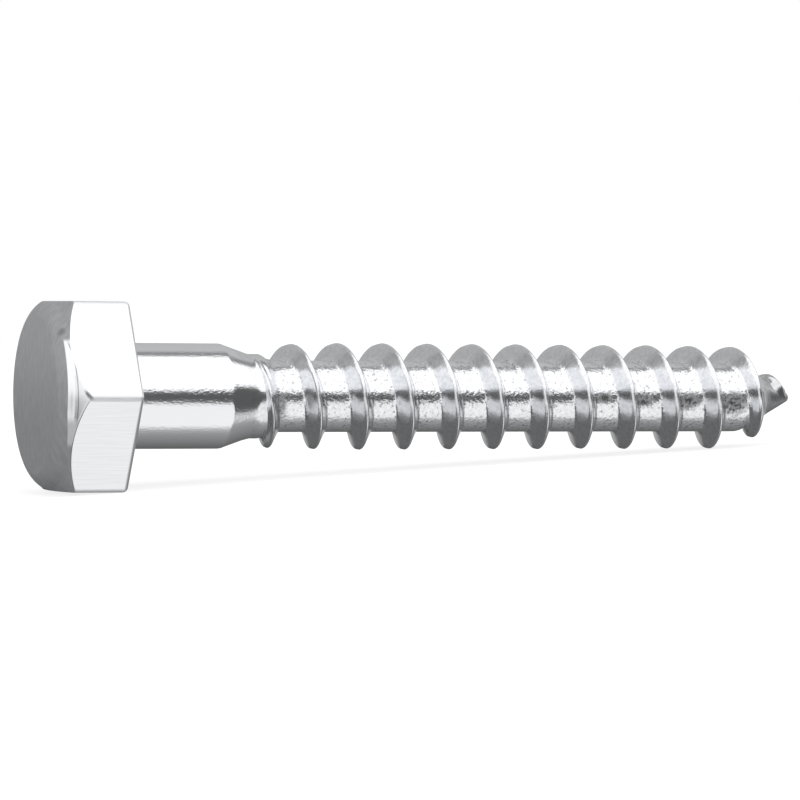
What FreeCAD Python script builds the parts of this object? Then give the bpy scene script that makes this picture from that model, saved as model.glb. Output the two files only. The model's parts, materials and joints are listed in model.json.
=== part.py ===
"""Hexagon-head coach screw, lying at rest on its head and on its last full thread crest.

The screw is drawn along X: the bearing face under the head is at x = 0, the head reaches to minus X
and the tip points to plus X. Lengths are millimetres and angles are degrees.
"""
import FreeCAD, Part
import math
import os

import Sketcher

SIZES = {
    "across_flats": 17.0,
    "head_height": 7.35,
    "edge_round": 0.45,
    "bearing_round": 0.36,
    "face_diameter": 14.4,
    "crown_round": 2.5,
    "shoulder_diameter": 17.2,
    "shoulder_drop": 1.27,
    "shoulder_width": 1.35,
    "shoulder_fall": 1.05,
    "shoulder_round": 6.0,
    "shank_diameter": 9.62,
    "shank_length": 9.9,
    "neck_fillet": 0.4,
    "taper_length": 2.7,
    "neck_diameter": 7.76,
    "neck_length": 1.2,
    "core_step": 0.7,
    "core_diameter": 6.6,
    "screw_length": 68.2,
    "point_angle": 52.6,
    "point_round": 0.5,
    "thread_diameter": 9.88,
    "thread_pitch": 4.5,
    "thread_start": 0.79,
    "run_in_turns": 0.5,
    "flank_angle": 60.0,
    "crest_width": 0.38,
    "point_thread": 8.2,
}

# How fast the crest falls towards the point: 1 would be a straight cone, more is a fuller ogive.
POINT_FULLNESS = 2.45
# How far the thread's foot is sunk into the core, so that the two are one piece of metal.
FOOT_DEPTH = 0.25
# Places on each turn that the thread's edges pass through, and the share of a turn for their slopes.
STEPS_PER_TURN = 12
TURN_STEP = 0.001
# Two points nearer than this are the same point.
TOUCH = 1e-4
# A sketch's names for its origin and axes, and for the two ends of a side.
ORIGIN = (-1, 1)
X_AXIS = -1
Y_AXIS = -2
FIRST = 1
SECOND = 2


def make_sheet(doc):
    """Driving dimensions, one row each, with the name beside its value."""
    sheet = doc.addObject("Spreadsheet::Sheet", "Sizes")
    for row, (name, value) in enumerate(SIZES.items(), start=1):
        sheet.set(f"A{row}", name)
        sheet.set(f"B{row}", str(value))
        sheet.setAlias(f"B{row}", name)
    doc.recompute()
    return sheet


def origin_plane(body, role):
    """The body's own origin plane with that role."""
    return next(item for item in body.Origin.OriginFeatures if item.Role == role)


def new_sketch(body, name, role):
    """Empty sketch on one of the body's origin planes."""
    sketch = body.newObject("Sketcher::SketchObject", name)
    sketch.AttachmentSupport = [(origin_plane(body, role), "")]
    sketch.MapMode = "FlatFace"
    return sketch


def bind(sketch, kind, label, formula, *ends):
    """Dimension of a sketch, driven by a formula of the sheet."""
    value = float(sketch.evalExpression(formula))
    index = sketch.addConstraint(Sketcher.Constraint(kind, *ends, value))
    sketch.renameConstraint(index, label)
    sketch.setExpression(f"Constraints.{label}", formula)


def hold_point(sketch, geometry, end, along, out):
    """Pin one end of a side at two distances from the origin, each a formula of the sheet."""
    axes = (("DistanceX", along, Y_AXIS), ("DistanceY", out, X_AXIS))
    for kind, formula, axis in axes:
        if float(sketch.evalExpression(formula)) == 0.0:
            sketch.addConstraint(Sketcher.Constraint("PointOnObject", geometry, end, axis))
        else:
            bind(sketch, kind, f"{kind}_{geometry}", formula, *ORIGIN, geometry, end)


def add_arc(sketch, start, end, formula):
    """Arc that turns clockwise from start to end. Sketcher keeps it anticlockwise, from end to start."""
    radius = float(sketch.evalExpression(formula))
    chord = end - start
    to_centre = math.sqrt(radius ** 2 - chord.Length ** 2 / 4)
    right = chord.cross(FreeCAD.Vector(0, 0, 1)).normalize()
    centre = (start + end) / 2 + right * to_centre
    angles = [math.atan2(place.y - centre.y, place.x - centre.x) for place in (end, start)]
    circle = Part.Circle(centre, FreeCAD.Vector(0, 0, 1), radius)
    arc = sketch.addGeometry(Part.ArcOfCircle(circle, *angles))
    bind(sketch, "Radius", f"Radius_{arc}", formula, arc)
    return arc


def add_outline(sketch, corners, rounds=None):
    """Closed outline through the corners, each corner a pair of formulas.

    rounds names the sides that are arcs instead of lines: the side's number, and its radius.
    """
    places = [FreeCAD.Vector(*(float(sketch.evalExpression(f)) for f in corner)) for corner in corners]
    sides = []
    for number, (start, end) in enumerate(zip(places, places[1:] + places[:1])):
        if number in (rounds or {}):
            sides.append((add_arc(sketch, start, end, rounds[number]), SECOND, FIRST))
        else:
            sides.append((sketch.addGeometry(Part.LineSegment(start, end)), FIRST, SECOND))
    for (side, _, last), (following, first, _) in zip(sides, sides[1:] + sides[:1]):
        sketch.addConstraint(Sketcher.Constraint("Coincident", side, last, following, first))
    for (side, first, _), (along, out) in zip(sides, corners):
        hold_point(sketch, side, first, along, out)


def select_edges(shape, wanted):
    """Names of the edges that pass the test."""
    return [f"Edge{index}" for index, edge in enumerate(shape.Edges, start=1) if wanted(edge)]


def add_fillet(doc, body, base, name, edges, size):
    """Round some edges of a feature to a radius from the sheet."""
    fillet = body.newObject("PartDesign::Fillet", name)
    fillet.Base = (base, edges)
    fillet.setExpression("Radius", f"Sizes.{size}")
    doc.recompute()
    return fillet


def make_head(doc, body):
    """Hexagon bar with two level flats, its edges rounded and its crown turned off."""
    hexagon = new_sketch(body, "HexagonSketch", "YZ_Plane")
    corner = "Sizes.across_flats / sqrt(3)"
    half = f"{corner} / 2"
    flat = "Sizes.across_flats / 2"
    add_outline(hexagon, [
        (corner, "0"),
        (half, flat),
        (f"-{half}", flat),
        (f"-{corner}", "0"),
        (f"-{half}", f"-{flat}"),
        (half, f"-{flat}"),
    ])
    bar = body.newObject("PartDesign::Pad", "HexagonBar")
    bar.Profile = hexagon
    bar.setExpression("Length", "Sizes.head_height")
    bar.Reversed = True
    doc.recompute()

    along = select_edges(bar.Shape, lambda edge: edge.BoundBox.XLength > TOUCH)
    sides = add_fillet(doc, body, bar, "SideEdges", along, "edge_round")
    rim = select_edges(sides.Shape, lambda edge: edge.BoundBox.XMin > -TOUCH)
    bearing = add_fillet(doc, body, sides, "BearingEdges", rim, "bearing_round")

    crown = new_sketch(body, "CrownSketch", "XZ_Plane")
    face = "-Sizes.head_height"
    outside = "Sizes.across_flats"
    crease_drop = f"{face} + Sizes.shoulder_drop"
    crease_out = "Sizes.shoulder_diameter / 2"
    add_outline(crown, [
        (face, "Sizes.face_diameter / 2"),
        (crease_drop, crease_out),
        (f"{crease_drop} + Sizes.shoulder_fall", f"{crease_out} + Sizes.shoulder_width"),
        (f"{crease_drop} + Sizes.shoulder_fall", outside),
        (face, outside),
    ], rounds={0: "Sizes.crown_round", 1: "Sizes.shoulder_round"})
    groove = body.newObject("PartDesign::Groove", "Crown")
    groove.Profile = crown
    groove.ReferenceAxis = (crown, ["H_Axis"])
    groove.Angle = 360.0
    doc.recompute()
    if groove.Shape.Volume >= bearing.Shape.Volume:
        raise RuntimeError("the crown was not turned off the head")


def make_stem(doc, body, sheet):
    """Shank, taper, neck, threaded core and point, turned as one profile under the head."""
    profile = new_sketch(body, "StemSketch", "XZ_Plane")
    overlap = "-Sizes.head_height / 2"
    shank = "Sizes.shank_length"
    taper = f"{shank} + Sizes.taper_length"
    neck = f"{taper} + Sizes.neck_length"
    core = f"{neck} + Sizes.core_step"
    half_point = "(Sizes.point_angle / 2)"
    # The cone's own apex lies past the rounded tip.
    apex = f"Sizes.screw_length + Sizes.point_round * (1 / sin({half_point}) - 1)"
    cone = f"{apex} - Sizes.core_diameter / 2 / tan({half_point})"
    tangent_out = f"Sizes.point_round * cos({half_point})"
    tangent = f"{apex} - {tangent_out} / tan({half_point})"
    corners = [
        (overlap, "0"),
        (overlap, "Sizes.shank_diameter / 2"),
        (shank, "Sizes.shank_diameter / 2"),
        (taper, "Sizes.neck_diameter / 2"),
        (neck, "Sizes.neck_diameter / 2"),
        (core, "Sizes.core_diameter / 2"),
        (cone, "Sizes.core_diameter / 2"),
        (tangent, tangent_out),
        ("Sizes.screw_length", "0"),
    ]
    add_outline(profile, corners, rounds={corners.index((tangent, tangent_out)): "Sizes.point_round"})
    stem = body.newObject("PartDesign::Revolution", "Stem")
    stem.Profile = profile
    stem.ReferenceAxis = (profile, ["H_Axis"])
    stem.Angle = 360.0
    doc.recompute()

    def under_head(edge):
        """The circle where the shank leaves the bearing face."""
        full_turn = math.pi * sheet.shank_diameter
        return abs(edge.CenterOfMass.x) < TOUCH and abs(edge.Length - full_turn) < TOUCH

    add_fillet(doc, body, stem, "UnderHead", select_edges(stem.Shape, under_head), "neck_fillet")


class Thread:
    """Right-hand wood thread: sizes from the sheet, and its section at any turn.

    Turn 0 is where the first full crest passes under the screw, at minus Z.
    """

    def __init__(self, sheet):
        self.pitch = sheet.thread_pitch
        self.crest = sheet.thread_diameter / 2
        self.core = sheet.core_diameter / 2
        self.neck = sheet.neck_diameter / 2
        self.length = sheet.screw_length
        self.start = sheet.shank_length + sheet.taper_length + sheet.neck_length + sheet.thread_start
        self.fall = sheet.screw_length - sheet.point_thread
        self.run_in = sheet.run_in_turns
        self.slope = math.tan(math.radians(sheet.flank_angle / 2))
        self.half_crest = sheet.crest_width / 2
        self.point_slope = math.tan(math.radians(sheet.point_angle / 2))
        self.point_round = sheet.point_round
        self.apex = self.length + self.point_round * (1 / math.sin(math.atan(self.point_slope)) - 1)
        self.full_height = self.crest - self.core + FOOT_DEPTH
        self.half_foot = self.half_crest + self.full_height * self.slope

    def place(self, turn):
        """Distance of the crest from the bearing face."""
        return self.start + turn * self.pitch

    def core_radius(self, along):
        """Radius of the core or of the point's cone."""
        return min(self.core, max((self.apex - along) * self.point_slope, 0.0))

    def crest_radius(self, turn):
        """Rises out of the neck over the run-in, stays full, and falls to nothing at the tip."""
        if turn < 0:
            share = 1 + turn / self.run_in
            rise = share * share * (3 - 2 * share)
            low = self.neck - FOOT_DEPTH
            return low + (self.crest - low) * rise
        share = (self.place(turn) - self.fall) / (self.length - self.fall)
        return self.crest * (1 - max(share, 0.0) ** POINT_FULLNESS)

    def last_turn(self):
        """Where the crest has sunk into the rounded tip."""
        return (self.length - self.point_round / 2 - self.start) / self.pitch

    def section(self, turn):
        """Corners of the ridge at that turn, from its foot towards the head to its foot towards the tip."""
        top = self.crest_radius(turn)
        foot = self.core_radius(self.place(turn) + self.half_foot) - FOOT_DEPTH
        foot = max(foot, 0.1 * top)
        height = top - foot
        edge = self.half_crest * height / self.full_height
        half_foot = edge + height * self.slope
        return [(-half_foot, foot), (-edge, top), (edge, top), (half_foot, foot)]

    def point(self, turn, offset, radius):
        """Point in space of a section's corner."""
        angle = 2 * math.pi * turn
        return FreeCAD.Vector(self.place(turn) + offset, radius * math.sin(angle), -radius * math.cos(angle))

    def edge(self, turns, corner):
        """Helical curve through one corner of the section over some turns."""
        def along(turn):
            return self.point(turn, *self.section(turn)[corner])

        def direction(turn):
            return (along(turn + TURN_STEP) - along(turn - TURN_STEP)) / (2 * TURN_STEP)

        curve = Part.BSplineCurve()
        curve.interpolate(
            Points=[along(turn) for turn in turns],
            Parameters=turns,
            InitialTangent=direction(turns[0]),
            FinalTangent=direction(turns[-1]),
            Scale=False,
        )
        return curve.toShape()

    def cap(self, turn):
        """Flat end of the ridge."""
        corners = [self.point(turn, *corner) for corner in self.section(turn)]
        return Part.Face(Part.makePolygon(corners + corners[:1]))

    def solid(self):
        """Ridge bounded by helical faces, a ring of them for each turn, and by a flat cap at each end."""
        first = -self.run_in
        last = self.last_turn()
        spans = math.ceil(last - first)
        length = (last - first) / spans
        faces = [self.cap(first), self.cap(last)]
        for span in range(spans):
            start = first + span * length
            turns = [start + length * step / STEPS_PER_TURN for step in range(STEPS_PER_TURN + 1)]
            edges = [self.edge(turns, corner) for corner in range(len(self.section(start)))]
            faces += [Part.makeRuledSurface(one, other) for one, other in zip(edges, edges[1:] + edges[:1])]
        shell = Part.makeShell(faces)
        shell.sewShape()
        ridge = Part.Solid(shell)
        if ridge.Volume < 0:
            ridge.reverse()
        return ridge


def rest_tilt(sheet, thread):
    """Angle by which the tip drops when the head's lower edge and a crest carry the screw."""
    rounding = sheet.bearing_round
    head = (-rounding, sheet.across_flats / 2 - rounding)
    tilts = []
    for turn in range(int(thread.last_turn()) + 1):
        along = thread.place(turn) - head[0]
        out = head[1] - thread.crest_radius(turn)
        reach = math.hypot(along, out)
        tilts.append(math.acos(-rounding / reach) - math.atan2(along, out))
    return math.degrees(min(tilts))


def lay_down(screw, tilt):
    """Turn the screw to its rest, over the middle of its footprint and with its lowest points at 0."""
    turn = FreeCAD.Rotation(FreeCAD.Vector(0, 1, 0), tilt)
    turned = screw.Shape.transformed(FreeCAD.Placement(FreeCAD.Vector(), turn).toMatrix())
    box = turned.optimalBoundingBox(False, False)
    centre = FreeCAD.Vector(-(box.XMin + box.XMax) / 2, -(box.YMin + box.YMax) / 2, -box.ZMin)
    screw.Placement = FreeCAD.Placement(centre, turn)


def check_part(doc, screw):
    """Stop on any failed object, and on a result that is not one sound solid."""
    failed = [item.Name for item in doc.Objects if {"Invalid", "Error"} & set(item.State)]
    if failed:
        raise RuntimeError(f"failed objects: {failed}")
    shape = screw.Shape
    if shape.isNull() or not shape.isValid() or len(shape.Solids) != 1:
        raise RuntimeError("the screw is not one valid solid")


def main():
    doc = FreeCAD.newDocument("CoachScrew")
    sheet = make_sheet(doc)
    blank = doc.addObject("PartDesign::Body", "Blank")
    blank.Label = "blank"
    make_head(doc, blank)
    make_stem(doc, blank, sheet)
    thread = Thread(sheet)
    ridge = doc.addObject("Part::Feature", "ThreadRidge")
    ridge.Label = "thread_ridge"
    ridge.Shape = thread.solid()
    screw = doc.addObject("Part::Fuse", "CoachScrew")
    screw.Label = "coach_screw"
    screw.Base = blank
    screw.Tool = ridge
    doc.recompute()
    lay_down(screw, rest_tilt(sheet, thread))
    doc.recompute()
    check_part(doc, screw)
    os.makedirs("parts", exist_ok=True)
    screw.Shape.exportStep(f"parts/{screw.Label}.step")


main()
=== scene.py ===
"""Looks of the coach screw: one dense skin over the CAD solid, zinc materials, floor, light and camera.

The skin is one closed mesh. It is drawn in the screw's own frame, as the CAD part is: the bearing face
under the head is at x = 0, the tip points to plus X, and the head lies on its lower flat at minus Z.
Angles round the screw start at minus Z and turn towards plus Y, which is the back.
"""
import json
import math

import bpy
import numpy as np
from mathutils import Matrix, Vector


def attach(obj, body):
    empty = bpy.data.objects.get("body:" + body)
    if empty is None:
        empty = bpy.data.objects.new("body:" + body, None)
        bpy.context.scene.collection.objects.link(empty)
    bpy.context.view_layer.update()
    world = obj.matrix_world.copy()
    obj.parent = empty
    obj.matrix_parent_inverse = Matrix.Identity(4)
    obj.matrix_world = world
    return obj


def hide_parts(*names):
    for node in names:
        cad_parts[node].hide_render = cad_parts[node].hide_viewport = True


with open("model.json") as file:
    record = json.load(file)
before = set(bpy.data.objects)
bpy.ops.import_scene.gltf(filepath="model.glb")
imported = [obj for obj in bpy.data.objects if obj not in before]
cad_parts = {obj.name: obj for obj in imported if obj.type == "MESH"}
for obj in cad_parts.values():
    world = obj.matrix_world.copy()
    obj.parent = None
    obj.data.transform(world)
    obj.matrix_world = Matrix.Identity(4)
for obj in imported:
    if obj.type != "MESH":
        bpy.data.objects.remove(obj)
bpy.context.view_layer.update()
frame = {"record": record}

MM = 0.001
SIXTH = math.radians(60.0)

# Head
ACROSS_FLATS = 17.0 * MM
HEAD_HEIGHT = 7.35 * MM
EDGE_ROUND = 0.45 * MM
BEARING_ROUND = 0.55 * MM
FACE_RADIUS = 7.2 * MM
CROWN_ROUND = 2.5 * MM
SHOULDER_RADIUS = 8.6 * MM
SHOULDER_DROP = 1.27 * MM
SHOULDER_WIDTH = 1.35 * MM
SHOULDER_FALL = 1.05 * MM
SHOULDER_ROUND = 20.0 * MM
# The crown was turned a little off the hexagon's centre: towards the back, and up.
CROWN_BACK = 0.15 * MM
CROWN_UP = 0.14 * MM
# How far the edge between the crown and the flats is softened.
CROWN_SOFT = 0.12 * MM

# Stem
SHANK_RADIUS = 4.81 * MM
SHANK_LENGTH = 9.9 * MM
NECK_FILLET = 0.4 * MM
TAPER_LENGTH = 2.7 * MM
NECK_RADIUS = 3.88 * MM
NECK_LENGTH = 1.2 * MM
CORE_STEP = 0.7 * MM
CORE_RADIUS = 3.3 * MM
SCREW_LENGTH = 68.2 * MM
HALF_POINT = math.radians(28.0)
POINT_ROUND = 0.5 * MM
# How far the corners of the stem's outline are softened on each side.
SHANK_SOFT = 0.15 * MM
NECK_SOFT = 0.25 * MM
CORE_SOFT = 0.3 * MM
POINT_SOFT = 0.4 * MM
# The middle of the shank's mount, from the bearing face.
SHANK_MOUNT = 5.0 * MM

# Thread
THREAD_RADIUS = 4.94 * MM
PITCH = 4.5 * MM
THREAD_START = SHANK_LENGTH + TAPER_LENGTH + NECK_LENGTH + 0.90 * MM
FLANK_RISE = 1 / math.tan(math.radians(30.0))
HALF_CREST = 0.11 * MM
CREST_SOFT = 0.12 * MM
ROOT_FILLET = 0.2 * MM
# It rises from inside the neck in half a turn, its first flank towards the head steeper.
RUN_IN_TURNS = 0.5
RUN_IN_DEPTH = 0.25 * MM
RUN_IN_STEEPER = 1.2
# The crest starts a little low, and is full after some turns.
FIRST_CREST_LOW = 0.19 * MM
FULL_TURNS = 1.5
# Waver of the crest's height: how much, its pace in each turn, and where it begins.
CREST_WAVES = ((0.012 * MM, 2.4, 1.0), (0.0084 * MM, 9.7, 0.4))
# At the back, the crest is rolled fuller: towards the head it leans off first, then falls steeply.
FULL_SIDE = math.radians(82.0)
FULL_REACH = 0.4
FULL_BLEND = 0.55
CREST_LEAN = 0.2
LEAN_WIDTH = 0.42 * MM
LEAN_SOFT = 0.15 * MM
HEAD_RISE = 2.40
# How the crest falls towards the tip: places along the screw, and what is left of its radius there.
FALL_PLACES = MM * np.array([
    60.0, 61.0, 61.8, 62.6, 63.3, 64.0, 64.8, 65.5, 66.3, 66.9, 67.3, 67.6, 67.9, 68.1,
])
FALL_SHARES = np.array([
    1.0, 1.0, 0.985, 0.965, 0.905, 0.8, 0.7, 0.61, 0.47, 0.31, 0.16, 0.06, 0.02, 0.0,
])
# The ridge ends blunt, wound down to the tip, and its foot is filled there.
BLUNT_START = 65.4 * MM
BLUNT_LENGTH = 1.4 * MM
BLUNT_TO_HEAD = 0.85
BLUNT_TO_TIP = 0.4
TIP_FILLET = 0.45
TIP_FILLET_END = 67.9 * MM

# Mesh
CORNER_TURN = math.radians(1.45)
CORNER_COLUMNS = 9
FLAT_COLUMNS = 19
# Rows on each side of the thread's crest.
HALF_STRIP = MM * np.array([
    0.0, 0.05, 0.1, 0.15, 0.24, 0.33, 0.42, 0.55, 0.75, 0.92, 1.0, 1.08, 1.18, 1.4, 1.8,
])
# The last helical row keeps this far from the tip.
TIP_ROOM = 0.25 * MM
# The rows before the tip are even after this share of a turn.
EVEN_AFTER = 0.125
# How many rows of the softened edge keep the crown's metal, and of the bearing face the flats' metal.
CROWN_EDGE_ROWS = 1
FLATS_BEARING_ROWS = 3

# Metals of the screw's areas, in the order of its material slots.
CROWN, FLATS, SHANK, THREAD = range(4)


def hexagon_radius(angles, inset=0.0):
    """Distance from the axis to the hexagon's rounded outline, drawn in by the inset."""
    off_flat = np.abs((angles + SIXTH / 2) % SIXTH - SIXTH / 2)
    off_corner = SIXTH / 2 - off_flat
    to_flat = ACROSS_FLATS / 2 - inset
    centre = (ACROSS_FLATS / 2 - EDGE_ROUND) / math.cos(SIXTH / 2)
    tangent = math.atan2(centre * math.sin(SIXTH / 2), to_flat)
    across = np.maximum((EDGE_ROUND - inset) ** 2 - (centre * np.sin(off_corner)) ** 2, 0.0)
    corner = centre * np.cos(off_corner) + np.sqrt(across)
    return np.where(off_flat < tangent, to_flat / np.cos(off_flat), corner)


def bulge(start, end, rounding):
    """Drop below the face as a function of radius, on an arc between two (radius, drop) places."""
    run = end[0] - start[0]
    fall = end[1] - start[1]
    chord = math.hypot(run, fall)
    reach = math.sqrt(rounding ** 2 - chord ** 2 / 4)
    centre_radius = (start[0] + end[0]) / 2 - fall / chord * reach
    centre_drop = (start[1] + end[1]) / 2 + run / chord * reach
    return lambda radius: centre_drop - np.sqrt(rounding ** 2 - (radius - centre_radius) ** 2)


def crown_drop(radius):
    """Drop of the crown below the face: flat, then a convex roll to a crease, then the shoulder."""
    crease = (SHOULDER_RADIUS, SHOULDER_DROP)
    outer = (SHOULDER_RADIUS + SHOULDER_WIDTH, SHOULDER_DROP + SHOULDER_FALL)
    roll = bulge((FACE_RADIUS, 0.0), crease, CROWN_ROUND)
    shoulder = bulge(crease, outer, SHOULDER_ROUND)
    inner = np.clip(radius, FACE_RADIUS, SHOULDER_RADIUS)
    outside = np.clip(radius, SHOULDER_RADIUS, outer[0])
    return np.where(radius < SHOULDER_RADIUS, roll(inner), shoulder(outside))


def from_crown(radius, angles):
    """Distance from the screw's axis, where the crown's own radius is given."""
    along = CROWN_BACK * np.sin(angles) - CROWN_UP * np.cos(angles)
    across = CROWN_BACK * np.cos(angles) + CROWN_UP * np.sin(angles)
    return along + np.sqrt(radius ** 2 - across ** 2)


def to_crown(radius, angles):
    """The crown's own radius, where the distance from the screw's axis is given."""
    y = radius * np.sin(angles) - CROWN_BACK
    z = -radius * np.cos(angles) - CROWN_UP
    return np.hypot(y, z)


def crown_rows(angles):
    """Rows of the crown, from its middle to where its edge softens: places along and off the axis."""
    rows = []

    def add_row(own_radius):
        rows.append((crown_drop(own_radius) - HEAD_HEIGHT, from_crown(own_radius, angles)))

    for share in (0.12, 0.25, 0.38, 0.5, 0.62, 0.74, 0.85, 0.93, 0.98):
        add_row(np.full_like(angles, FACE_RADIUS * share))
    edge = to_crown(hexagon_radius(angles), angles)
    crease = np.minimum(SHOULDER_RADIUS, edge - 2 * CROWN_SOFT)
    for share in np.linspace(0.0, 1.0, 11):
        add_row(FACE_RADIUS + (crease - FACE_RADIUS) * share)
    soft_start = edge - CROWN_SOFT
    for share in (0.03, 0.2, 0.4, 0.6, 0.8, 0.95, 1.0):
        add_row(crease + (soft_start - crease) * share)
    return rows


def edge_rows(angles, last_of_crown):
    """Rows of the softened edge, a curve from the crown's last row by the corner onto the flats."""
    outline = hexagon_radius(angles)
    before = np.array(last_of_crown)
    corner = np.array((crown_drop(to_crown(outline, angles)) - HEAD_HEIGHT, outline))
    after = corner + np.array((np.full_like(angles, CROWN_SOFT), np.zeros_like(angles)))
    rows = []
    for share in (0.25, 0.5, 0.75, 1.0):
        left = 1 - share
        rows.append(tuple(before * left ** 2 + corner * 2 * share * left + after * share ** 2))
    return rows


def side_rows(angles, top):
    """Rows of the flats and of the round-over to the bearing face."""
    outline = hexagon_radius(angles)
    bottom = -BEARING_ROUND
    rows = []
    for share in (0.01, 0.2, 0.4, 0.6, 0.8, 0.99, 1.0):
        rows.append((top + (bottom - top) * share, outline))
    for turn in np.radians((15.0, 30.0, 45.0, 60.0, 75.0, 90.0)):
        inset = BEARING_ROUND * (1 - math.cos(turn))
        along = -BEARING_ROUND * (1 - math.sin(turn))
        rows.append((np.full_like(angles, along), hexagon_radius(angles, inset)))
    return rows


def under_rows(angles, outer):
    """Rows of the bearing face and of the fillet between it and the shank."""
    fillet_start = SHANK_RADIUS + NECK_FILLET
    rows = []
    for share in (0.01, 0.2, 0.4, 0.6, 0.8, 0.97, 1.0):
        rows.append((np.zeros_like(angles), outer + (fillet_start - outer) * share))
    for turn in np.radians((18.0, 36.0, 54.0, 72.0, 90.0)):
        along = NECK_FILLET * (1 - math.cos(turn))
        out = fillet_start - NECK_FILLET * math.sin(turn)
        rows.append((np.full_like(angles, along), np.full_like(angles, out)))
    return rows


def head_rows(angles):
    """Rows of the head from its crown to the shank, and the area that follows each row."""
    crown = crown_rows(angles)
    edge = edge_rows(angles, crown[-1])
    sides = side_rows(angles, edge[-1][0])
    under = under_rows(angles, sides[-1][1])
    rows = crown + edge + sides + under
    crown_count = len(crown) + CROWN_EDGE_ROWS
    shank_count = len(under) - FLATS_BEARING_ROWS
    flats_count = len(rows) - crown_count - shank_count
    return rows, [CROWN] * crown_count + [FLATS] * flats_count + [SHANK] * shank_count


def bend(along, place, softness):
    """Ramp that starts at a place, with its corner softened over that distance on each side."""
    ahead = along - place
    soft = (ahead + softness) ** 2 / (4 * softness)
    return np.where(np.abs(ahead) < softness, soft, np.maximum(ahead, 0.0))


def body_radius(along):
    """Radius of the stem without its thread."""
    taper_slope = (SHANK_RADIUS - NECK_RADIUS) / TAPER_LENGTH
    step_slope = (NECK_RADIUS - CORE_RADIUS) / CORE_STEP
    neck = SHANK_LENGTH + TAPER_LENGTH
    step = neck + NECK_LENGTH
    apex = SCREW_LENGTH + POINT_ROUND * (1 / math.sin(HALF_POINT) - 1)
    cone = apex - CORE_RADIUS / math.tan(HALF_POINT)
    radius = SHANK_RADIUS - taper_slope * bend(along, SHANK_LENGTH, SHANK_SOFT)
    radius += taper_slope * bend(along, neck, NECK_SOFT)
    radius -= step_slope * bend(along, step, NECK_SOFT)
    radius += step_slope * bend(along, step + CORE_STEP, CORE_SOFT)
    radius -= math.tan(HALF_POINT) * bend(along, cone, POINT_SOFT)
    ball = SCREW_LENGTH - POINT_ROUND
    tangent = ball + POINT_ROUND * math.sin(HALF_POINT)
    tip = np.sqrt(np.maximum(POINT_ROUND ** 2 - (along - ball) ** 2, 0.0))
    return np.where(along > tangent, tip, radius)


def crest_radius(turn):
    """Radius over the thread's crest: rises out of the neck, stays full, and falls to the tip."""
    share = np.clip(1 + turn / RUN_IN_TURNS, 0.0, 1.0)
    low = NECK_RADIUS - RUN_IN_DEPTH
    full = THREAD_RADIUS - FIRST_CREST_LOW * np.clip(1 - turn / FULL_TURNS, 0.0, 1.0)
    rising = low + (full - low) * share * (2 - share)
    falling = full * np.interp(THREAD_START + turn * PITCH, FALL_PLACES, FALL_SHARES)
    wave = sum(height * np.sin(turn * pace + begin) for height, pace, begin in CREST_WAVES)
    falling = falling + wave * np.minimum(falling / CORE_RADIUS, 1.0)
    radius = np.where(turn < 0, rising, falling)
    return np.where(turn < -RUN_IN_TURNS, 0.0, radius)


def smooth_max(one, other, softness):
    """The larger of the two, with the corner between them filled."""
    share = np.clip(0.5 + 0.5 * (one - other) / softness, 0.0, 1.0)
    return other + (one - other) * share + softness * share * (1 - share)


def flank_drop(past_crest, angles):
    """How far the thread's flank lies below its crest; past_crest is negative towards the head."""
    straight = FLANK_RISE * bend(np.abs(past_crest), HALF_CREST, CREST_SOFT)
    behind = np.maximum(-past_crest, 0.0)
    steep = (HEAD_RISE - CREST_LEAN) * bend(behind, LEAN_WIDTH, LEAN_SOFT)
    full = CREST_LEAN * behind + steep
    share = np.clip((np.cos(angles - FULL_SIDE) + FULL_REACH) / FULL_BLEND, 0.0, 1.0)
    share = np.where(past_crest < 0, share ** 2 * (3 - 2 * share), 0.0)
    return straight + (full - straight) * share


def stem_radius(along, angles):
    """Radius of the stem with its thread, at places along the axis and angles round it."""
    radius = body_radius(along)
    lead = (along - THREAD_START) / PITCH - angles / math.tau
    for shift in (0, 1):
        turn = angles / math.tau + np.floor(lead) + shift
        crest_place = THREAD_START + turn * PITCH
        past_crest = along - crest_place
        steeper = 1 + np.clip(1 - 2 * turn, 0.0, RUN_IN_STEEPER)
        near_tip = np.clip((crest_place - BLUNT_START) / BLUNT_LENGTH, 0.0, 1.0)
        blunt = 1 - np.where(past_crest < 0, BLUNT_TO_HEAD, BLUNT_TO_TIP) * near_tip
        drop = flank_drop(past_crest, angles) * blunt * np.where(past_crest < 0, steeper, 1.0)
        fillet = ROOT_FILLET + TIP_FILLET * near_tip * np.clip(TIP_FILLET_END - along, 0.0, MM)
        radius = smooth_max(crest_radius(turn) - drop, radius, fillet)
    return radius


class Skin:
    """The mesh in the making: its vertices and its faces, each face with its area of the screw."""

    def __init__(self):
        self.places = []
        self.faces = []
        self.areas = []

    def add(self, along, out, angles):
        """New vertices at places along and off the axis; returns their numbers."""
        points = np.stack((along, out * np.sin(angles), -out * np.cos(angles)), axis=-1)
        first = len(self.places)
        self.places.extend(points.tolist())
        return list(range(first, first + len(points)))

    def add_pole(self, along):
        """One vertex on the axis; returns its number."""
        return self.add(np.array([along]), np.array([0.0]), np.array([0.0]))[0]

    def quad(self, corners, area):
        """One face, with doubled corners dropped."""
        kept = [c for i, c in enumerate(corners) if c != corners[i - 1]]
        if len(kept) > 2:
            self.faces.append(kept)
            self.areas.append(area)

    def band(self, upper, lower, area):
        """Faces between two rows of numbers that run the same way."""
        for i in range(len(upper) - 1):
            self.quad((upper[i], upper[i + 1], lower[i + 1], lower[i]), area)

    def bands(self, rows, area):
        """Faces between each row and the next."""
        for upper, lower in zip(rows, rows[1:]):
            self.band(upper, lower, area)


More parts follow.
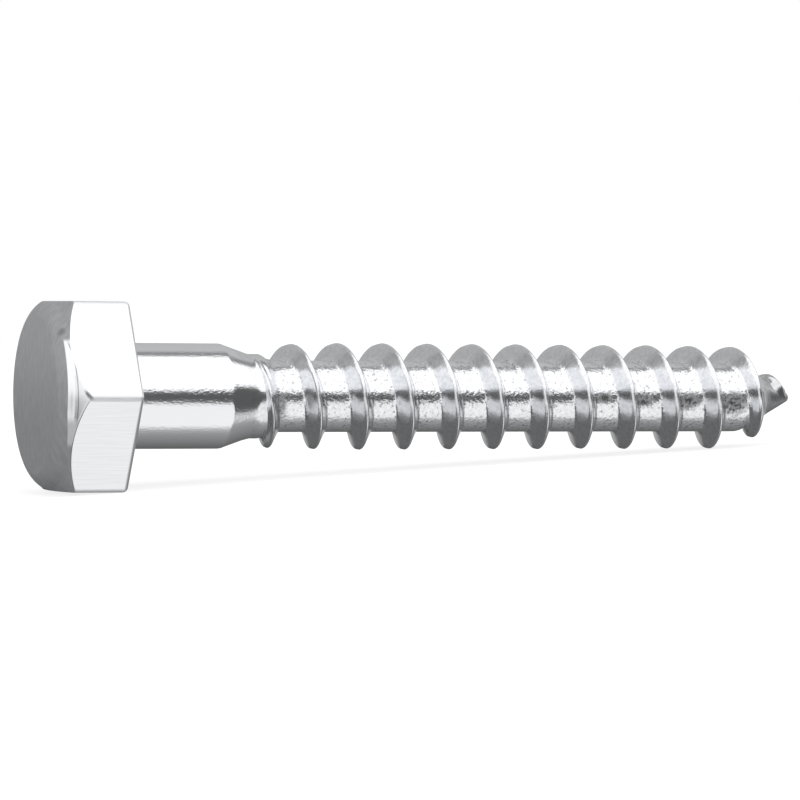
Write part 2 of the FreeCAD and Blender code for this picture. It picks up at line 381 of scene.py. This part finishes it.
def column_angles():
    """Angles of the mesh's columns: even over each flat, crowded into each rounded corner."""
    corner = np.linspace(-CORNER_TURN, CORNER_TURN, CORNER_COLUMNS)
    flat = np.linspace(CORNER_TURN, SIXTH - CORNER_TURN, FLAT_COLUMNS + 2)[1:-1]
    sector = np.concatenate((corner, flat)) + SIXTH / 2
    return np.concatenate([sector + SIXTH * side for side in range(6)])


def helical_rows(start):
    """Starts of the helical rows, in turns from a place, and the number of the last one.

    The starts go on for one more turn, for column 0. In each turn the crest lies at a half, and the
    rows crowd round it.
    """
    half = HALF_STRIP / PITCH
    steps = np.concatenate((0.5 - half[:0:-1], 0.5 + half))
    room = (SCREW_LENGTH - TIP_ROOM - start) / PITCH - 1 - (steps[1] - steps[0])
    shares = np.concatenate([steps + turn for turn in range(math.ceil(room) + 2)])
    last = int(np.searchsorted(shares, room))
    return shares[:last + len(steps) + 1], last


def ring(numbers):
    """A row closed on itself."""
    return numbers + numbers[:1]


def add_head(skin, angles, end):
    """The head, and the shank almost to the end; returns the numbers of its last row."""
    pole = skin.add_pole(-HEAD_HEIGHT)
    rows, areas = head_rows(angles)
    fillet_end = rows[-1][0][0]
    for share in (0.1, 0.3, 0.5, 0.7, 0.85):
        along = fillet_end + (end - fillet_end) * share
        rows.append((np.full_like(angles, along), np.full_like(angles, SHANK_RADIUS)))
        areas.append(SHANK)
    numbers = [skin.add(along, out, angles) for along, out in rows]
    skin.band(ring([pole] * len(angles)), ring(numbers[0]), CROWN)
    for upper, lower, area in zip(numbers, numbers[1:], areas):
        skin.band(ring(upper), ring(lower), area)
    return numbers[-1]


def add_stem(skin, angles, start, before):
    """The stem from the row before it to a straight ring near the tip.

    Returns where that ring lies, and its numbers.
    """
    shares, last = helical_rows(start)
    per_turn = len(shares) - 1 - last
    lead = (angles - angles[0]) / math.tau
    others = lead[1:] * PITCH
    begin = start + shares[0] * PITCH
    end = start + (shares[last] + 1) * PITCH

    def add_row(along, around):
        return skin.add(along, stem_radius(along, around), around)

    # Column 0 holds one more turn of rows, where the last column meets it a turn further on.
    first_column = add_row(start + shares * PITCH, np.full_like(shares, angles[0]))
    spiral = []
    for j in range(last + 1):
        row = add_row(start + shares[j] * PITCH + others, angles[1:])
        spiral.append([first_column[j]] + row + [first_column[j + per_turn]])
    for j in range(last):
        middle = start + (shares[j] + 0.5) * PITCH
        area = SHANK if middle < THREAD_START - PITCH else THREAD
        skin.band(spiral[j], spiral[j + 1], area)

    # The wedge from a straight ring to the first helical row.
    opening = []
    for i in range(per_turn):
        row = add_row(begin + others * (shares[i] - shares[0]), angles[1:])
        opening.append([first_column[0]] + row + [first_column[i]])
    opening.append(spiral[0])
    skin.band(ring(before), opening[0], SHANK)
    skin.bands(opening, SHANK)

    # The wedge from the last helical row to a straight ring. The end of the ridge crosses its rows,
    # so they are even away from the first column.
    closing = [spiral[last]]
    even = np.minimum(lead[1:] / EVEN_AFTER, 1.0)
    last_row = start + shares[last] * PITCH + others
    for i in range(1, per_turn + 1):
        share = shares[last + i] - shares[last]
        share = share + (i / per_turn - share) * even
        row = add_row(last_row + (end - last_row) * share, angles[1:])
        closing.append([first_column[last + i]] + row + [first_column[last + per_turn]])
    skin.bands(closing, THREAD)
    return end, closing[-1][:-1]


def add_tip(skin, angles, start, before):
    """The rounded tip, from the straight ring before it."""
    for share in (0.35, 0.65, 0.88):
        along = np.full_like(angles, start + (SCREW_LENGTH - start) * share)
        numbers = skin.add(along, body_radius(along), angles)
        skin.band(ring(before), ring(numbers), THREAD)
        before = numbers
    pole = skin.add_pole(SCREW_LENGTH)
    skin.band(ring(before), ring([pole] * len(angles)), THREAD)


def build_skin():
    """The whole screw as one closed skin, from the face over the head and down the thread to the tip."""
    skin = Skin()
    angles = column_angles()
    # The helical rows are counted from a turn before the thread's run-in.
    start = THREAD_START + PITCH * (angles[0] / math.tau - 1 - RUN_IN_TURNS)
    shares, _ = helical_rows(start)
    shank_row = add_head(skin, angles, start + shares[0] * PITCH)
    end, last_ring = add_stem(skin, angles, start, shank_row)
    add_tip(skin, angles, end, last_ring)
    return skin


def screw_frame():
    """Matrix from the screw's own frame to the row's, from the shank's mount."""
    mount = next(m for m in frame["record"]["mounts"] if m["name"] == "shank")
    axis = Vector(mount["axis"]).normalized()
    side = Vector((0.0, 1.0, 0.0))
    up = axis.cross(side)
    origin = Vector(mount["pos_m"]) - axis * SHANK_MOUNT
    return Matrix.Translation(origin) @ Matrix((axis, side, up)).transposed().to_4x4()


def add_screw(to_row, materials):
    """The screw's skin as an object in the row's frame."""
    skin = build_skin()
    mesh = bpy.data.meshes.new("screw_skin")
    mesh.from_pydata(skin.places, [], skin.faces)
    for material in materials:
        mesh.materials.append(material)
    mesh.polygons.foreach_set("material_index", skin.areas)
    mesh.polygons.foreach_set("use_smooth", [True] * len(skin.faces))
    # The materials' patterns keep to the screw's own frame.
    own = mesh.attributes.new("own_place", "FLOAT_VECTOR", "POINT")
    own.data.foreach_set("vector", np.ravel(skin.places))
    mesh.transform(to_row)
    screw = bpy.data.objects.new("screw_skin", mesh)
    bpy.context.scene.collection.objects.link(screw)
    return screw


def feed(tree, socket, value):
    """Links a socket to another node's output, or sets it to a number, a vector or a colour."""
    if isinstance(value, bpy.types.NodeSocket):
        tree.links.new(value, socket)
    elif socket.type == "RGBA":
        socket.default_value = (*value, 1.0)
    else:
        socket.default_value = value


def node_math(tree, operation, *values):
    """Math node; each value is a number or another node's output."""
    node = tree.nodes.new("ShaderNodeMath")
    node.operation = operation
    for socket, value in zip(node.inputs, values):
        feed(tree, socket, value)
    return node.outputs[0]


def vector_math(tree, operation, vector, other):
    """Vector math node; the other is a tuple or another node's output."""
    node = tree.nodes.new("ShaderNodeVectorMath")
    node.operation = operation
    feed(tree, node.inputs[0], vector)
    feed(tree, node.inputs[1], other)
    return node.outputs["Value" if operation == "DOT_PRODUCT" else "Vector"]


def split(tree, vector):
    """The three parts of a vector."""
    node = tree.nodes.new("ShaderNodeSeparateXYZ")
    tree.links.new(vector, node.inputs[0])
    return node.outputs


def product(tree, value, *factors):
    """A value times all the factors."""
    for factor in factors:
        value = node_math(tree, "MULTIPLY", value, factor)
    return value


def above_zero(tree, value):
    """A value, or 0 where it is less."""
    return node_math(tree, "MAXIMUM", value, 0.0)


def weigh(tree, pairs, plus=0.0):
    """Sum of sockets times their factors, plus a number."""
    total = plus
    for socket, factor in pairs:
        total = node_math(tree, "ADD", product(tree, socket, factor), total)
    return total


def smooth_step(tree, value, low, high):
    """0 at low, 1 at high, smooth between, and level outside."""
    node = tree.nodes.new("ShaderNodeMapRange")
    node.interpolation_type = "SMOOTHSTEP"
    tree.links.new(value, node.inputs["Value"])
    node.inputs["From Min"].default_value = low
    node.inputs["From Max"].default_value = high
    return node.outputs["Result"]


def blend(tree, share, one, other):
    """one where share is 0, other where it is 1."""
    node = tree.nodes.new("ShaderNodeMix")
    feed(tree, node.inputs["Factor"], share)
    feed(tree, node.inputs["A"], one)
    feed(tree, node.inputs["B"], other)
    return node.outputs["Result"]


def mix_colors(tree, share, color, other):
    """The first colour where share is 0, the other where it is 1; each is a tuple or a socket."""
    node = tree.nodes.new("ShaderNodeMixRGB")
    feed(tree, node.inputs["Fac"], share)
    feed(tree, node.inputs["Color1"], color)
    feed(tree, node.inputs["Color2"], other)
    return node.outputs["Color"]


def own_place(tree):
    """The point's place in the screw's own frame, in metres."""
    node = tree.nodes.new("ShaderNodeAttribute")
    node.attribute_name = "own_place"
    return node.outputs["Vector"]


def own_radius(tree, vector):
    """Distance from the screw's axis."""
    _, y, z = split(tree, vector)
    return node_math(tree, "SQRT", node_math(tree, "ADD", product(tree, y, y), product(tree, z, z)))


def noise(tree, vector, size, detail=2.0):
    """Soft noise; size is the width of its spots along each of the screw's own axes."""
    texture = tree.nodes.new("ShaderNodeTexNoise")
    texture.inputs["Scale"].default_value = 1.0
    texture.inputs["Detail"].default_value = detail
    tree.links.new(vector_math(tree, "DIVIDE", vector, size), texture.inputs["Vector"])
    return texture.outputs["Fac"]


def add_bump(tree, shader, height, depth):
    """Bumps of a depth in metres where height is 1."""
    node = tree.nodes.new("ShaderNodeBump")
    node.inputs["Distance"].default_value = depth
    tree.links.new(height, node.inputs["Height"])
    tree.links.new(node.outputs["Normal"], shader.inputs["Normal"])


def zinc(name, roughness):
    """Metal with constants on the shader's own sockets; returns the material, its nodes and its shader."""
    material = bpy.data.materials.new(name)
    material.use_nodes = True
    tree = material.node_tree
    shader = tree.nodes["Principled BSDF"]
    shader.inputs["Metallic"].default_value = 1.0
    shader.inputs["Roughness"].default_value = roughness
    return material, tree, shader


ZINC = (0.84, 0.85, 0.87)
BLACK = (0.0, 0.0, 0.0)

# Crown: greys of its fine streaks, darker low on it and lighter high on it as painted shade, and the
# heights between which they change.
SHADED_LOWER_GREYS = ((0.205, 0.21, 0.22), (0.245, 0.25, 0.26))
LIT_UPPER_GREYS = ((0.28, 0.285, 0.295), (0.33, 0.335, 0.345))
PAINTED_SHADE_HEIGHTS = (-3.5 * MM, 6.0 * MM)
STREAK_SIZE = (1.2 * MM, 0.25 * MM, 1.2 * MM)
MATTE_ROUGHNESS = 0.6
# The band starts at this radius about the crown's centre. Low down it starts further out, by a share
# of the way down, less a first part.
BAND_RADIUS = (8.22 * MM, 8.27 * MM)
BAND_FALL = 0.07
BAND_FALL_LESS = 0.1 * MM
BAND_METAL = (0.74, 0.75, 0.77)
BAND_ROUGHNESS = 0.22
# Heights between which the band brightens and ends, and those of its pale foot, a painted reflection in
# matte grey.
BRIGHT_FOOT = (-2.6 * MM, -1.6 * MM)
BRIGHT_TOP = (5.25 * MM, 4.85 * MM)
PALE_FOOT = (-4.5 * MM, -3.9 * MM)
PALE_TOP = (1.0 * MM, 0.0)
PAINTED_REFLECTION_GREY = (0.44, 0.44, 0.45)
# The line on the band, painted shade near the crease: its radius in the middle, how it bows, its half
# width, and where it ends.
LINE_RADIUS = SHOULDER_RADIUS + 0.3 * MM
LINE_BOW = 0.015 / MM
LINE_MIDDLE = -0.5 * MM
LINE_WIDTH = (0.07 * MM, 0.03 * MM)
LINE_TOP = (5.2 * MM, 4.4 * MM)
PAINTED_CREASE_SHADE = (0.38, 0.38, 0.39)

# Flats: drawing lines, and the radius outside which their long edges are worn dull.
DRAWN_SIZE = (4.0 * MM, 0.12 * MM, 0.12 * MM)
DRAWN_METAL = (0.80, 0.81, 0.83)
DRAWN_DEPTH = 0.002 * MM
FLATS_ROUGHNESS = 0.17
WORN_RADIUS = (9.6 * MM, 9.7 * MM)
WORN_ROUGHNESS = 0.57

# Shank
SHANK_GRAIN = (0.24 * MM, 0.18 * MM, 0.18 * MM)
SHANK_DEPTH = 0.015 * MM
SHANK_ROUGHNESS = 0.12

# Thread: the root's radius and end, its pits and flecks, and the mottle over all of it.
ROOT_RADIUS = (CORE_RADIUS + 0.35 * MM, CORE_RADIUS + 0.1 * MM)
ROOT_END = (65.0 * MM, 63.5 * MM)
PIT_SIZE = (0.3 * MM,) * 3
ROOT_DEPTH = 0.04
FLANK_DEPTH = 0.01
FLECKS = (0.56, 0.74)
FLECK_METAL = (0.35, 0.35, 0.36)
MOTTLE_SIZE = (0.35 * MM,) * 3
MOTTLE_METALS = ((0.76, 0.77, 0.79), (0.88, 0.89, 0.91))
SPECK_SIZE = (0.26 * MM,) * 3
SPECK_METALS = ((0.11, 0.11, 0.11), (0.40, 0.40, 0.41))
THREAD_ROUGHNESS = 0.17
# Radii between which the flank and the crest start, and where the point turns satin and darker with
# painted shade.
FLANK_RADIUS = (CORE_RADIUS + 0.15 * MM, CORE_RADIUS + 0.4 * MM)
CREST_RADIUS = (THREAD_RADIUS - 0.2 * MM, THREAD_RADIUS - 0.1 * MM)
SATIN_AND_SHADE_PLACES = (64.0 * MM, 65.4 * MM)

# Small dark marks at the ends of the crown's bright band; the first, at the front corner, is a painted
# reflection. For each: how light it is, and its shape, which is the middle in the screw's own frame, the
# radius, the longer direction and how much longer.
DARK_MARKS_WITH_PAINTED_REFLECTION = (
    # Painted reflection: the first mark, on the rounding by the front corner.
    (0.15, ((-5.16 * MM, -9.57 * MM, 0.26 * MM), 0.17 * MM, (0.546, -0.420, -0.725), 3.0)),
    (0.19, ((-6.60 * MM, -5.84 * MM, 5.75 * MM), 0.36 * MM, (0.0, -0.6, 0.8), 1.5)),
)
# Rough patches in the thread's last roots and behind the neck: how strong each is, and its shape.
ROUGH_PATCHES = (
    (1.0, ((47.15 * MM, -3.30 * MM, -0.02 * MM), 0.45 * MM, (1.0, 0.0, 0.0), 1.5)),
    (1.0, ((51.35 * MM, -3.28 * MM, -0.22 * MM), 0.58 * MM, (1.0, 0.0, 0.0), 1.3)),
    (1.0, ((56.00 * MM, -3.27 * MM, -0.36 * MM), 0.72 * MM, (1.0, 0.0, 0.0), 1.5)),
    (1.0, ((60.85 * MM, -3.20 * MM, -0.62 * MM), 0.98 * MM, (1.0, 0.0, 0.0), 1.25)),
    (0.8, ((14.88 * MM, -3.15 * MM, -1.10 * MM), 0.52 * MM, (0.0, 0.33, -0.94), 2.8)),
)
# A spot's edge, in its radii: the width of the noise, its depth, and where the spot ends and is full.
SPOT_GRAIN = 0.35
SPOT_RAGGED = 1.6
SPOT_END = 2.4
SPOT_FULL = 1.1


def spot(tree, vector, centre, radius, along, stretch):
    """1 inside a stretched ball about a place on the screw, 0 outside, ragged between."""
    offset = vector_math(tree, "SUBTRACT", vector, centre)
    squared = vector_math(tree, "DOT_PRODUCT", offset, offset)
    lengthwise = vector_math(tree, "DOT_PRODUCT", offset, along)
    lengthwise = product(tree, lengthwise, lengthwise)
    squeezed = weigh(tree, ((squared, 1.0), (lengthwise, 1 / stretch ** 2 - 1)))
    distance = node_math(tree, "SQRT", above_zero(tree, squeezed))
    grain = noise(tree, vector, (SPOT_GRAIN * radius,) * 3)
    reach = node_math(tree, "ADD", distance, product(tree, grain, SPOT_RAGGED * radius))
    return smooth_step(tree, reach, SPOT_END * radius, SPOT_FULL * radius)


def add_dark_marks_with_painted_reflection(tree, vector, color):
    """The head's dark marks over a colour; the one at the front corner is a painted reflection."""
    for grey, shape in DARK_MARKS_WITH_PAINTED_REFLECTION:
        color = mix_colors(tree, spot(tree, vector, *shape), color, (grey, grey, grey))
    return color


def crown_grey_with_painted_shade(tree, place, height):
    """Forged grey with fine streaks, darker low on the crown as painted shade."""
    streaks = smooth_step(tree, noise(tree, place, STREAK_SIZE, detail=3.0), 0.3, 0.7)
    upper = mix_colors(tree, streaks, *LIT_UPPER_GREYS)
    lower = mix_colors(tree, streaks, *SHADED_LOWER_GREYS)
    # Painted shade: the streaked grey is darker low on the crown and lighter high on it.
    return mix_colors(tree, smooth_step(tree, height, *PAINTED_SHADE_HEIGHTS), lower, upper)


def crown_metal(tree, height, radius):
    """Metal of the bright band, with a line of painted crease shade that bows outwards in the middle."""
    off_middle = weigh(tree, ((height, 1.0),), plus=-LINE_MIDDLE)
    bow = product(tree, off_middle, off_middle, LINE_BOW)
    line = weigh(tree, ((radius, 1.0), (bow, 1.0)), plus=-LINE_RADIUS)
    line = smooth_step(tree, node_math(tree, "ABSOLUTE", line), *LINE_WIDTH)
    line = product(tree, line, smooth_step(tree, height, *LINE_TOP))
    # Painted shade: the thin darker line near the crease.
    return mix_colors(tree, line, BAND_METAL, PAINTED_CREASE_SHADE)


def crown_material():
    """Crown: matte forged grey, and a bright rolled band round its edge above the lower flats."""
    material, tree, shader = zinc("zinc_crown", MATTE_ROUGHNESS)
    place = own_place(tree)
    height = split(tree, place)[2]
    radius = own_radius(tree, vector_math(tree, "SUBTRACT", place, (0.0, CROWN_BACK, CROWN_UP)))
    # The band is bright in the middle, ends above the corner, and runs out pale below it; the pale foot is
    # a painted reflection.
    fall = above_zero(tree, weigh(tree, ((height, -BAND_FALL),), plus=-BAND_FALL_LESS))
    band = smooth_step(tree, node_math(tree, "SUBTRACT", radius, fall), *BAND_RADIUS)
    foot = smooth_step(tree, height, *BRIGHT_FOOT)
    bright = product(tree, band, foot, smooth_step(tree, height, *BRIGHT_TOP))
    pale_foot = smooth_step(tree, height, *PALE_FOOT)
    pale = product(tree, band, pale_foot, smooth_step(tree, height, *PALE_TOP))
    # Painted reflection: a pale matte grey at the band's foot.
    grey = mix_colors(tree, pale, crown_grey_with_painted_shade(tree, place, height), PAINTED_REFLECTION_GREY)
    color = mix_colors(tree, bright, grey, crown_metal(tree, height, radius))
    # The dark marks, the one by the front corner a painted reflection.
    tree.links.new(add_dark_marks_with_painted_reflection(tree, place, color), shader.inputs["Base Color"])
    tree.links.new(bright, shader.inputs["Metallic"])
    roughness = blend(tree, bright, MATTE_ROUGHNESS, BAND_ROUGHNESS)
    tree.links.new(roughness, shader.inputs["Roughness"])
    shader.inputs["Specular IOR Level"].default_value = 0.3
    return material


def flats_material():
    """Bright flats, with fine drawing lines along the screw and dull long edges."""
    material, tree, shader = zinc("zinc_flats", FLATS_ROUGHNESS)
    place = own_place(tree)
    lines = noise(tree, place, DRAWN_SIZE, detail=3.0)
    color = mix_colors(tree, smooth_step(tree, lines, 0.3, 0.7), DRAWN_METAL, ZINC)
    # The dark marks, the one by the front corner a painted reflection.
    tree.links.new(add_dark_marks_with_painted_reflection(tree, place, color), shader.inputs["Base Color"])
    worn = smooth_step(tree, own_radius(tree, place), *WORN_RADIUS)
    roughness = blend(tree, worn, FLATS_ROUGHNESS, WORN_ROUGHNESS)
    tree.links.new(roughness, shader.inputs["Roughness"])
    add_bump(tree, shader, lines, DRAWN_DEPTH)
    return material


def shank_material():
    """Bright shank with the zinc's fine grain."""
    material, tree, shader = zinc("zinc_shank", SHANK_ROUGHNESS)
    shader.inputs["Base Color"].default_value = (*ZINC, 1.0)
    add_bump(tree, shader, noise(tree, own_place(tree), SHANK_GRAIN, detail=3.0), SHANK_DEPTH)
    return material


def thread_material():
    """Bright thread, mottled, its rolled root pitted and flecked with dark, its flanks and point darkened
    as painted shade.
    """
    material, tree, shader = zinc("zinc_thread", THREAD_ROUGHNESS)
    place = own_place(tree)
    along = split(tree, place)[0]
    radius = own_radius(tree, place)
    root = smooth_step(tree, radius, *ROOT_RADIUS)
    root = product(tree, root, smooth_step(tree, along, *ROOT_END))
    pits = noise(tree, place, PIT_SIZE, detail=3.0)
    mottle = smooth_step(tree, noise(tree, place, MOTTLE_SIZE, detail=4.0), 0.3, 0.7)
    color = mix_colors(tree, mottle, *MOTTLE_METALS)
    flecks = product(tree, smooth_step(tree, pits, *FLECKS), root)
    color = mix_colors(tree, flecks, color, FLECK_METAL)
    patch = weigh(tree, [(spot(tree, place, *shape), share) for share, shape in ROUGH_PATCHES])
    specks = smooth_step(tree, noise(tree, place, SPECK_SIZE, detail=3.0), 0.4, 0.6)
    color = mix_colors(tree, patch, color, mix_colors(tree, specks, *SPECK_METALS))
    # Painted shade: the flanks a little darker than the root, and the point darker. The point is also
    # satin, and the crest rubbed dull.
    flank = smooth_step(tree, radius, *FLANK_RADIUS)
    crest = smooth_step(tree, radius, *CREST_RADIUS)
    point_satin_and_shade = smooth_step(tree, along, *SATIN_AND_SHADE_PLACES)
    color = mix_colors(tree, weigh(tree, ((flank, 0.06), (point_satin_and_shade, 0.24))), color, BLACK)
    tree.links.new(color, shader.inputs["Base Color"])
    roughness = weigh(tree, ((patch, 0.4), (point_satin_and_shade, 0.04), (crest, 0.1)), plus=THREAD_ROUGHNESS)
    tree.links.new(roughness, shader.inputs["Roughness"])
    # The pits' depths are in millimetres, so the bump's own depth is one.
    depth = blend(tree, root, FLANK_DEPTH, ROOT_DEPTH)
    add_bump(tree, shader, product(tree, pits, depth), MM)
    return material


# Levels of the studio that the metal mirrors; 1 is white. A direction there is given by its parts to
# the right, to the front and up, each from -1 to 1, and a pair of levels goes from left to right.
LIGHT_LEVEL = 1.35
FLOOR_LEVEL = 1.03
EDGE_LEVELS = (0.42, 0.26)
GAP_LEVELS = (0.95, 0.11)
CORNER_LEVEL = 0.37
LOW_LEFT_LEVEL = 0.16
CAMERA_LEVEL = 1.0


def backdrop_level(tree, right, front, up, left):
    """Grey behind, lighter on the right and higher up, darker below where the screw hides it."""
    above = weigh(tree, ((right, 0.05), (up, 0.12)), plus=0.46)
    under = weigh(tree, ((front, 0.24), (above_zero(tree, front), 0.5)), plus=0.335)
    under = blend(tree, left, under, LOW_LEFT_LEVEL)
    return blend(tree, smooth_step(tree, up, -0.36, -0.10), under, above)


def floor_share(tree, right, front, up, left):
    """Where the pale floor in front is mirrored."""
    drop = above_zero(tree, weigh(tree, ((right, 1.0),), plus=-0.25))
    below = weigh(tree, ((drop, -0.45), (up, -1.0)), plus=-0.22)
    low = above_zero(tree, product(tree, up, -1.0))
    return product(
        tree,
        smooth_step(tree, below, -0.03, 0.03),
        smooth_step(tree, weigh(tree, ((front, 1.0), (low, -0.33))), -0.08, 0.04),
        smooth_step(tree, weigh(tree, ((up, 1.0), (left, -0.44))), -0.96, -0.92),
        smooth_step(tree, right, 0.79, 0.67),
    )


def light_share(tree, right, up, rear):
    """Where the light is mirrored: everything in front above the gap."""
    far_right = above_zero(tree, weigh(tree, ((right, 1.0),), plus=-0.85))
    light = weigh(tree, ((right, -0.11), (far_right, -0.9), (up, 1.0)), plus=-0.155)
    light = smooth_step(tree, light, -0.015, 0.015)
    return product(tree, light, smooth_step(tree, rear, -0.01, 0.01))


def add_world():
    """Soft studio: a wide light overhead and in front, a grey backdrop behind, and a dark gap between."""
    world = bpy.data.worlds.new("studio")
    bpy.context.scene.world = world
    world.use_nodes = True
    tree = world.node_tree
    tree.nodes.clear()
    coordinates = tree.nodes.new("ShaderNodeTexCoord")
    right, back, up = split(tree, coordinates.outputs["Generated"])
    front = product(tree, back, -1.0)
    left = smooth_step(tree, right, -0.1, -0.3)
    level = backdrop_level(tree, right, front, up, left)
    # Between the light and the floor: a dark gap, deepest on the right.
    gap = product(tree, smooth_step(tree, front, -0.05, 0.1), smooth_step(tree, up, -0.54, -0.48))
    gap_level = blend(tree, smooth_step(tree, right, -0.8, -0.65), *GAP_LEVELS)
    level = blend(tree, gap, level, gap_level)
    level = blend(tree, floor_share(tree, right, front, up, left), level, FLOOR_LEVEL)
    # Behind the light, high up: its dark edge.
    rear = weigh(tree, ((front, 1.0),), plus=0.13)
    edge = product(tree, smooth_step(tree, rear, -0.26, -0.20), smooth_step(tree, up, 0.45, 0.55))
    edge_level = blend(tree, smooth_step(tree, right, -0.3, 0.5), *EDGE_LEVELS)
    level = blend(tree, edge, level, edge_level)
    # The backdrop is darker high on the left.
    corner = product(
        tree,
        smooth_step(tree, right, -0.66, -0.76),
        smooth_step(tree, up, 0.42, 0.50),
    )
    level = blend(tree, corner, level, CORNER_LEVEL)
    level = blend(tree, light_share(tree, right, up, rear), level, LIGHT_LEVEL)

    # The camera itself sees plain white.
    rays = tree.nodes.new("ShaderNodeLightPath")
    level = blend(tree, rays.outputs["Is Camera Ray"], level, CAMERA_LEVEL)
    background = tree.nodes.new("ShaderNodeBackground")
    background.inputs["Color"].default_value = (1.0, 1.0, 1.0, 1.0)
    tree.links.new(level, background.inputs["Strength"])
    output = tree.nodes.new("ShaderNodeOutputWorld")
    tree.links.new(background.outputs[0], output.inputs[0])


FLOOR_HALF = 0.6
FLOOR_COLOR = (0.95, 0.95, 0.95, 1.0)
FLOOR_GLOW = 1.25
FLOOR_LIFT = 0.6


def add_floor():
    """Pale floor that keeps the screw's shadow."""
    corners = [(x * FLOOR_HALF, y * FLOOR_HALF, 0.0) for x, y in ((-1, -1), (1, -1), (1, 1), (-1, 1))]
    mesh = bpy.data.meshes.new("floor")
    mesh.from_pydata(corners, [], [(0, 1, 2, 3)])
    floor = bpy.data.objects.new("floor", mesh)
    bpy.context.scene.collection.objects.link(floor)
    floor.visible_glossy = False
    material = bpy.data.materials.new("pale_floor")
    material.use_nodes = True
    tree = material.node_tree
    shader = tree.nodes["Principled BSDF"]
    shader.inputs["Base Color"].default_value = FLOOR_COLOR
    shader.inputs["Roughness"].default_value = 1.0
    shader.inputs["Specular IOR Level"].default_value = 0.0
    # The camera sees it lifted to white; a part of its shading stays, and with it the shadow.
    glow = tree.nodes.new("ShaderNodeEmission")
    glow.inputs["Strength"].default_value = FLOOR_GLOW
    mix = tree.nodes.new("ShaderNodeMixShader")
    rays = tree.nodes.new("ShaderNodeLightPath")
    tree.links.new(product(tree, rays.outputs["Is Camera Ray"], FLOOR_LIFT), mix.inputs[0])
    tree.links.new(shader.outputs[0], mix.inputs[1])
    tree.links.new(glow.outputs[0], mix.inputs[2])
    tree.links.new(mix.outputs[0], tree.nodes["Material Output"].inputs[0])
    mesh.materials.append(material)


# The camera, fitted to the head's corners and the thread's crests: how the screw is turned before it,
# and where the middle of the bearing face lies, to its right, down and ahead.
SWING = math.radians(21.4)
RISE = math.radians(0.1)
ROLL = math.radians(-1.3)
FACE_FROM_CAMERA = Vector((-25.85, -0.37, 327.9)) * MM
LENS = 163.44
SENSOR_WIDTH = 36.0


def add_camera(to_row):
    """Camera at the photograph's place."""
    axis = Vector((
        math.cos(SWING) * math.cos(RISE),
        math.cos(SWING) * math.sin(RISE),
        math.sin(SWING),
    ))
    level_front = Vector((
        math.sin(SWING) * math.cos(RISE),
        math.sin(SWING) * math.sin(RISE),
        -math.cos(SWING),
    ))
    level_up = Vector((math.sin(RISE), -math.cos(RISE), 0.0))
    front = math.cos(ROLL) * level_front + math.sin(ROLL) * level_up
    up = -math.sin(ROLL) * level_front + math.cos(ROLL) * level_up
    # Rows of to_screw are the camera's right, down and ahead in the screw's frame.
    to_screw = Matrix((axis, -front, up)).transposed()
    right, down, ahead = (to_row.to_3x3() @ row for row in to_screw)
    camera_data = bpy.data.cameras.new("camera")
    camera_data.lens = LENS
    camera_data.sensor_width = SENSOR_WIDTH
    camera_data.clip_start = 0.01
    camera_data.clip_end = 10.0
    camera = bpy.data.objects.new("camera", camera_data)
    bpy.context.scene.collection.objects.link(camera)
    offset = right * FACE_FROM_CAMERA.x + down * FACE_FROM_CAMERA.y + ahead * FACE_FROM_CAMERA.z
    turned = Matrix((right, -down, -ahead)).transposed().to_4x4()
    camera.matrix_world = Matrix.Translation(to_row.translation - offset) @ turned
    bpy.context.scene.camera = camera


to_row = screw_frame()
materials = [crown_material(), flats_material(), shank_material(), thread_material()]
screw = add_screw(to_row, materials)
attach(screw, "root")
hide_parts("coach_screw")
add_world()
add_floor()
add_camera(to_row)
bpy.context.scene.view_settings.view_transform = "Standard"
